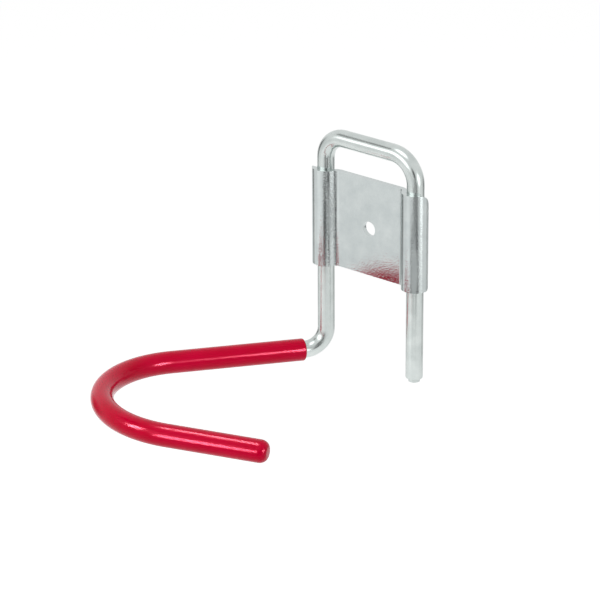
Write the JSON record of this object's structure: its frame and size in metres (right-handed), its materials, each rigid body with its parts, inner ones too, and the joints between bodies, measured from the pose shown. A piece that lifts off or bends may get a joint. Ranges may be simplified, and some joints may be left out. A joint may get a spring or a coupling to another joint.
{
  "type": "ceiling hook",
  "caption": "Screw-on hook bent from plated round rod, its looped back clamped by a folded plate with a screw hole, with a soft sleeve over the open bowl.",
  "frame": {"origin": "centre of the screw hole, on the plate's back face", "axes": "-Y straight out of the surface that it is screwed to, +Z along the legs towards the loop, +X from the hook's leg to the free leg"},
  "size_m": [0.102, 0.1298, 0.1057],
  "materials": {
    "bright_zinc_rod": "bright zinc plating on round steel rod",
    "satin_zinc_sheet": "satin zinc plating on folded steel sheet",
    "red_sleeve": "glossy soft vinyl"
  },
  "bodies": {
    "root": {"bent_rod": "bright_zinc_rod", "clamp_plate": "satin_zinc_sheet", "grip_sleeve": "red_sleeve"}
  },
  "joints": []
}
